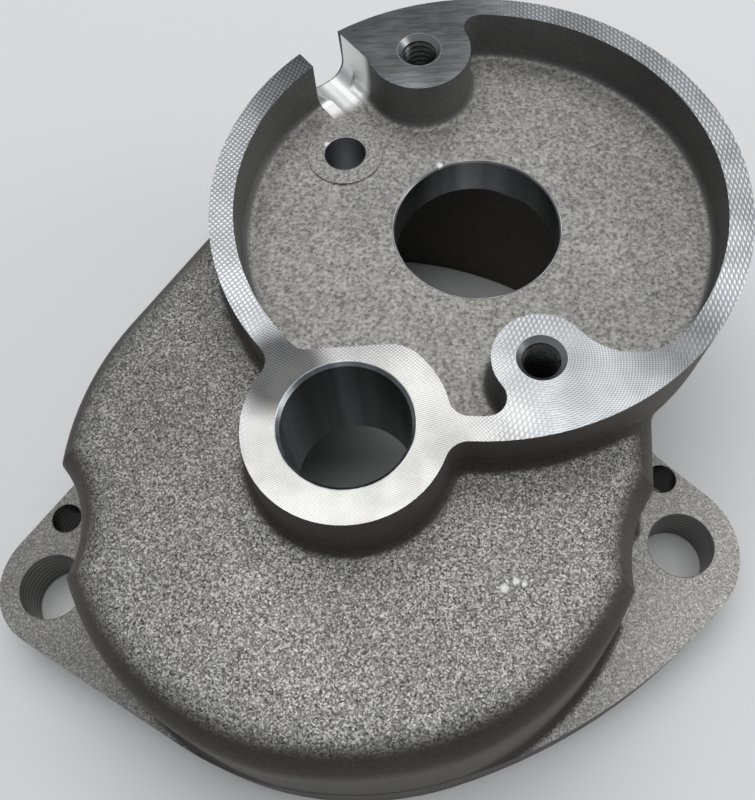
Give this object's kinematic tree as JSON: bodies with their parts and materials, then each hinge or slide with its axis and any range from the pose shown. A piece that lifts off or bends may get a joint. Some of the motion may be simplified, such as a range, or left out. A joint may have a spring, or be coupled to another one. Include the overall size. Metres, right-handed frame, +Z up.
{
  "type": "gearbox housing",
  "caption": "Cast domed gear housing: two-eared flange, open-bottomed cavity, top ring recess with a bearing bore, and a side bearing boss.",
  "frame": {"origin": "on the machined mounting face, midway between the two ear bolt holes", "axes": "+Z up, square to the mounting face and along both bearing axes; +X along the line of the two ear bolts; +Y from the bolt line towards the ring"},
  "size_m": [0.1491, 0.1488, 0.055],
  "materials": {
    "cast_aluminium": "as-cast, fine blasted grain, with bright milled lands and bored seats"
  },
  "bodies": {
    "root": {"housing": "cast_aluminium"}
  },
  "joints": []
}
